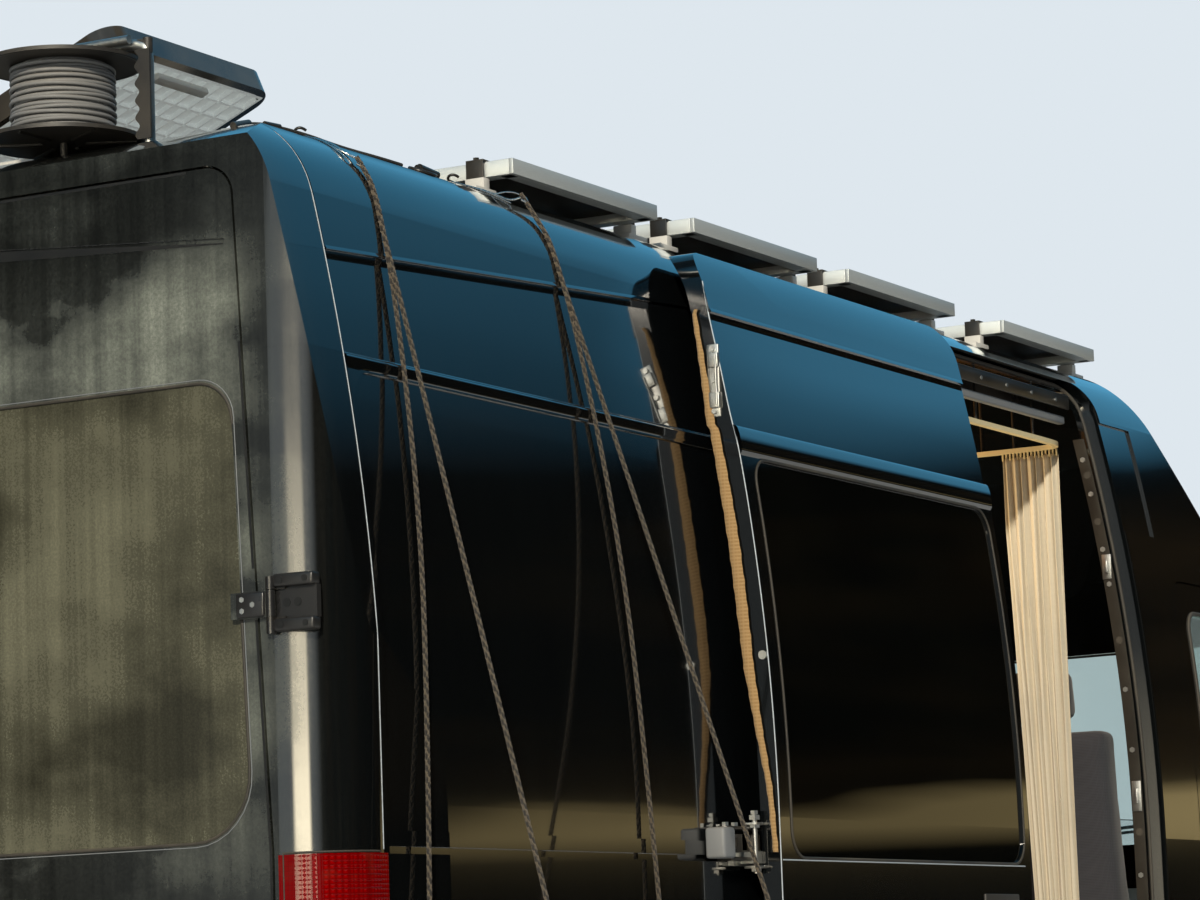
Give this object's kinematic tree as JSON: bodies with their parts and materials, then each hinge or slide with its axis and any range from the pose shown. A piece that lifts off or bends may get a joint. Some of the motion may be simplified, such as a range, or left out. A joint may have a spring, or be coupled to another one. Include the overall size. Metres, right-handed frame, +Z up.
{
  "type": "camper van",
  "caption": "Long high-roof panel van fitted as a camper, with hinged doors, open side door, roof hatch, solar panels and a roped side table",
  "frame": {"origin": "on the ground below the middle of the van's length and width", "axes": "+X forward, +Y to the van's left, +Z up"},
  "size_m": [6.945, 2.561, 2.9897],
  "materials": {
    "body_paint": "gloss, dusty",
    "dark_trim": "grained",
    "window_glass": "tinted",
    "screen_glass": "clear",
    "lamp_red": "gloss",
    "lamp_clear": "gloss",
    "tyre_rubber": "matt",
    "wheel_steel": "satin",
    "chassis_steel": "satin",
    "bare_steel": "satin",
    "engine_iron": "rough",
    "frame_aluminium": "satin",
    "cell_glass": "gloss",
    "lid_plastic": "smoked",
    "white_plastic": "satin",
    "black_plastic": "matt",
    "cable_rubber": "matt",
    "rope_fibre": "braided",
    "light_wood": "satin",
    "seat_fabric": "woven",
    "curtain_cloth": "woven",
    "mattress_cloth": "woven"
  },
  "bodies": {
    "root": {"roof_panel": "body_paint", "side_panel_left": "body_paint", "side_panel_right": "body_paint", "floor_pan": "chassis_steel", "front_structure": "body_paint", "front_bumper": "dark_trim", "grille": "dark_trim", "windscreen": "screen_glass", "headlamps": "lamp_clear", "tail_lamps": "lamp_red", "rear_bumper": "dark_trim", "side_window_left": "window_glass", "door_hinges": "chassis_steel", "sliding_door": "body_paint", "sliding_door_glass": "window_glass", "door_rail": "bare_steel", "chassis_frame": "chassis_steel", "front_axle": "chassis_steel", "rear_axle": "chassis_steel", "engine_block": "engine_iron", "exhaust": "bare_steel", "fuel_tank": "black_plastic", "dashboard": "black_plastic", "cab_seats": "seat_fabric", "kitchen_unit": "light_wood", "bed_platform": "light_wood", "mattress": "mattress_cloth", "curtain": "curtain_cloth", "solar_panels": "cell_glass", "panel_rails": "frame_aluminium", "hatch_frame": "white_plastic", "cable_reel": "black_plastic", "reel_cable": "cable_rubber", "side_table": "light_wood", "ropes": "rope_fibre", "wing_left": "body_paint", "wing_right": "body_paint", "roof_side_left": "body_paint", "roof_side_right": "body_paint", "pillar_right": "body_paint"},
    "bonnet": {"bonnet": "body_paint"},
    "front_door_left": {"front_door_left": "body_paint", "front_door_left_glass": "window_glass"},
    "front_door_right": {"front_door_right": "body_paint", "front_door_right_glass": "window_glass"},
    "rear_door_left": {"rear_door_left": "body_paint", "rear_door_left_glass": "window_glass"},
    "rear_door_right": {"rear_door_right": "body_paint", "rear_door_right_glass": "window_glass"},
    "hatch_lid": {"hatch_lid": "lid_plastic"},
    "knuckle_left": {"knuckle_left": "chassis_steel"},
    "knuckle_right": {"knuckle_right": "chassis_steel"},
    "wheel_front_left": {"rim_front_left": "wheel_steel", "tyre_front_left": "tyre_rubber"},
    "wheel_front_right": {"rim_front_right": "wheel_steel", "tyre_front_right": "tyre_rubber"},
    "wheel_rear_left": {"rim_rear_left": "wheel_steel", "tyre_rear_left": "tyre_rubber"},
    "wheel_rear_right": {"rim_rear_right": "wheel_steel", "tyre_rear_right": "tyre_rubber"}
  },
  "joints": [
    {"name": "steer_left", "type": "hinge", "parent": "root", "child": "knuckle_left", "pos_m": [2.4685, 0.795, 0.356], "axis": [0, 0, 1], "range_deg": [-33, 33]},
    {"name": "roll_front_left", "type": "hinge", "parent": "knuckle_left", "child": "wheel_front_left", "pos_m": [2.4685, 0.855, 0.356], "axis": [0, 1, 0], "continuous": true},
    {"name": "roll_rear_left", "type": "hinge", "parent": "root", "child": "wheel_rear_left", "pos_m": [-1.8565, 0.855, 0.356], "axis": [0, 1, 0], "continuous": true},
    {"name": "open_front_door_left", "type": "hinge", "parent": "root", "child": "front_door_left", "pos_m": [2.285, 0.9975, 1.2], "axis": [0, 0, -1], "range_deg": [0, 70]},
    {"name": "open_rear_door_left", "type": "hinge", "parent": "root", "child": "rear_door_left", "pos_m": [-3.4095, 0.85, 1.2], "axis": [0, 0, -1], "range_deg": [0, 180]},
    {"name": "steer_right", "type": "hinge", "parent": "root", "child": "knuckle_right", "pos_m": [2.4685, -0.795, 0.356], "axis": [0, 0, 1], "range_deg": [-33, 33]},
    {"name": "roll_front_right", "type": "hinge", "parent": "knuckle_right", "child": "wheel_front_right", "pos_m": [2.4685, -0.855, 0.356], "axis": [0, 1, 0], "continuous": true},
    {"name": "roll_rear_right", "type": "hinge", "parent": "root", "child": "wheel_rear_right", "pos_m": [-1.8565, -0.855, 0.356], "axis": [0, 1, 0], "continuous": true},
    {"name": "open_front_door_right", "type": "hinge", "parent": "root", "child": "front_door_right", "pos_m": [2.285, -0.9975, 1.2], "axis": [0, 0, 1], "range_deg": [0, 70]},
    {"name": "open_rear_door_right", "type": "hinge", "parent": "root", "child": "rear_door_right", "pos_m": [-3.4095, -0.85, 1.2], "axis": [0, 0, 1], "range_deg": [0, 180]},
    {"name": "open_bonnet", "type": "hinge", "parent": "root", "child": "bonnet", "pos_m": [2.79, 0, 1.279], "axis": [0, -1, 0], "range_deg": [0, 60]},
    {"name": "open_hatch", "type": "hinge", "parent": "root", "child": "hatch_lid", "pos_m": [-2.7, 0.272, 2.738], "axis": [-1, 0, 0], "range_deg": [-22.8, 47]}
  ],
  "couplings": [
    {"joint": "steer_right", "follows": "steer_left", "ratio": 1}
  ]
}
